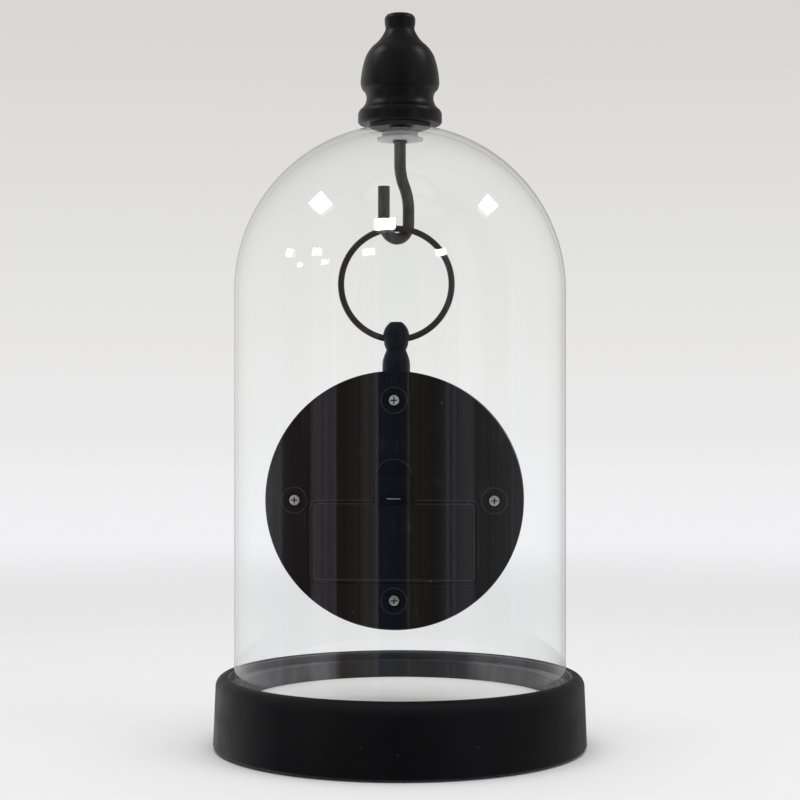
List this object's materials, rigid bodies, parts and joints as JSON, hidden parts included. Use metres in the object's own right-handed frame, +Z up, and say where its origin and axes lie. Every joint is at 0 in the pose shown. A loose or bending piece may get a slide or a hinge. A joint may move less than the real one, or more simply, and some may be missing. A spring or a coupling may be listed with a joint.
{
  "type": "glass dome shelf clock",
  "caption": "Pocket-watch style clock hanging by a ring from a steel hook under a glass dome with a turned finial, on a round black base with a recessed pale floor.",
  "frame": {"origin": "middle of the underside of the felt pad, on the surface that the clock stands on", "axes": "+Z up through the finial, -Y the way the dial faces, +Y the battery door"},
  "size_m": [0.1588, 0.1588, 0.3118],
  "materials": {
    "base_black": "matte black paint on turned wood",
    "felt": "matte",
    "floor_white": "matte",
    "clear_glass": "polished",
    "rubber_black": "matte",
    "clear_plastic": "translucent",
    "raw_steel": "dark mill scale",
    "finial_black": "satin black paint on turned wood",
    "brass": "plain",
    "wire_black": "satin",
    "knob_black": "satin",
    "case_black": "satin",
    "cover_black": "satin moulded",
    "zinc": "zinc plated",
    "dial_cream": "matte print",
    "hand_black": "satin",
    "movement_black": "moulded",
    "wheel_white": "moulded",
    "board_green": "lacquered board",
    "copper": "enamelled winding",
    "soft_iron": "plain",
    "cell_sleeve": "printed sleeve without lettering"
  },
  "bodies": {
    "base": {"base": "base_black", "base_pad": "felt", "floor_disc": "floor_white"},
    "dome": {"glass_dome": "clear_glass", "dome_gasket": "rubber_black", "dome_grommet": "clear_plastic", "clear_washer": "clear_plastic", "hook": "raw_steel", "finial": "finial_black", "finial_insert": "brass"},
    "ring": {"hanging_ring": "wire_black"},
    "clock": {"pendant_knob": "knob_black", "pendant_nut": "zinc", "case_band": "case_black", "front_bezel": "case_black", "crystal": "clear_glass", "dial_spacer": "movement_black", "dial": "dial_cream", "rear_cover": "cover_black", "rear_screws": "zinc", "movement_housing": "movement_black", "movement_cover": "movement_black", "movement_nut": "brass", "circuit_board": "board_green", "quartz_crystal": "soft_iron", "stator": "soft_iron", "coil": "copper", "battery": "cell_sleeve", "contact_positive": "soft_iron", "contact_negative": "soft_iron"},
    "battery_door": {"battery_door": "cover_black"},
    "hour_hand": {"hour_hand": "hand_black", "hour_wheel": "wheel_white"},
    "minute_hand": {"minute_hand": "hand_black", "minute_arbor": "brass"},
    "second_hand": {"second_hand": "hand_black", "second_arbor": "wheel_white"},
    "motion_wheel": {"motion_wheel": "wheel_white"},
    "centre_wheel": {"centre_wheel": "wheel_white"},
    "third_wheel": {"third_wheel": "wheel_white"},
    "fifth_wheel": {"fifth_wheel": "wheel_white"},
    "rotor": {"rotor": "soft_iron"},
    "setting_knob": {"setting_knob": "wheel_white"}
  },
  "joints": [
    {"name": "dome_lift", "type": "slide", "parent": "base", "child": "dome", "axis": [0, 0, 1], "range_m": [0, 0.06]},
    {"name": "ring_sway", "type": "hinge", "parent": "dome", "child": "ring", "pos_m": [0.00151, 0.00151, 0.22017], "axis": [0, 1, 0], "range_deg": [-2.3, 2.3]},
    {"name": "clock_tilt", "type": "hinge", "parent": "ring", "child": "clock", "pos_m": [0.00151, 0.00151, 0.17297], "axis": [-1, 0, 0], "range_deg": [-8, 8]},
    {"name": "battery_door_hinge", "type": "hinge", "parent": "clock", "child": "battery_door", "pos_m": [0.00151, 0.01451, 0.07147], "axis": [-1, 0, 0], "range_deg": [0, 100]},
    {"name": "minute_hand_turn", "type": "hinge", "parent": "clock", "child": "minute_hand", "pos_m": [0.00151, 0.00151, 0.10507], "axis": [0, 1, 0], "continuous": true},
    {"name": "hour_hand_turn", "type": "hinge", "parent": "clock", "child": "hour_hand", "pos_m": [0.00151, 0.00151, 0.10507], "axis": [0, 1, 0], "continuous": true},
    {"name": "motion_wheel_turn", "type": "hinge", "parent": "clock", "child": "motion_wheel", "pos_m": [0.00913, 0.00151, 0.10947], "axis": [0, 1, 0], "continuous": true},
    {"name": "setting_knob_turn", "type": "hinge", "parent": "clock", "child": "setting_knob", "pos_m": [0.00151, 0.00151, 0.09507], "axis": [0, 1, 0], "continuous": true},
    {"name": "second_hand_turn", "type": "hinge", "parent": "clock", "child": "second_hand", "pos_m": [0.00151, 0.00151, 0.10507], "axis": [0, 1, 0], "continuous": true},
    {"name": "third_wheel_turn", "type": "hinge", "parent": "clock", "child": "third_wheel", "pos_m": [-0.00629, 0.00151, 0.10957], "axis": [0, 1, 0], "continuous": true},
    {"name": "centre_wheel_turn", "type": "hinge", "parent": "clock", "child": "centre_wheel", "pos_m": [0.00151, 0.00151, 0.10507], "axis": [0, 1, 0], "continuous": true},
    {"name": "fifth_wheel_turn", "type": "hinge", "parent": "clock", "child": "fifth_wheel", "pos_m": [0.00151, 0.00151, 0.11347], "axis": [0, 1, 0], "continuous": true},
    {"name": "rotor_turn", "type": "hinge", "parent": "clock", "child": "rotor", "pos_m": [0.00541, 0.00151, 0.12022], "axis": [0, 1, 0], "continuous": true}
  ],
  "couplings": [
    {"joint": "hour_hand_turn", "follows": "minute_hand_turn", "ratio": 0.083333},
    {"joint": "motion_wheel_turn", "follows": "minute_hand_turn", "ratio": -0.33333},
    {"joint": "setting_knob_turn", "follows": "minute_hand_turn", "ratio": -2.5},
    {"joint": "third_wheel_turn", "follows": "second_hand_turn", "ratio": -0.13333},
    {"joint": "centre_wheel_turn", "follows": "second_hand_turn", "ratio": 0.016667},
    {"joint": "fifth_wheel_turn", "follows": "second_hand_turn", "ratio": -6},
    {"joint": "rotor_turn", "follows": "second_hand_turn", "ratio": 30}
  ]
}
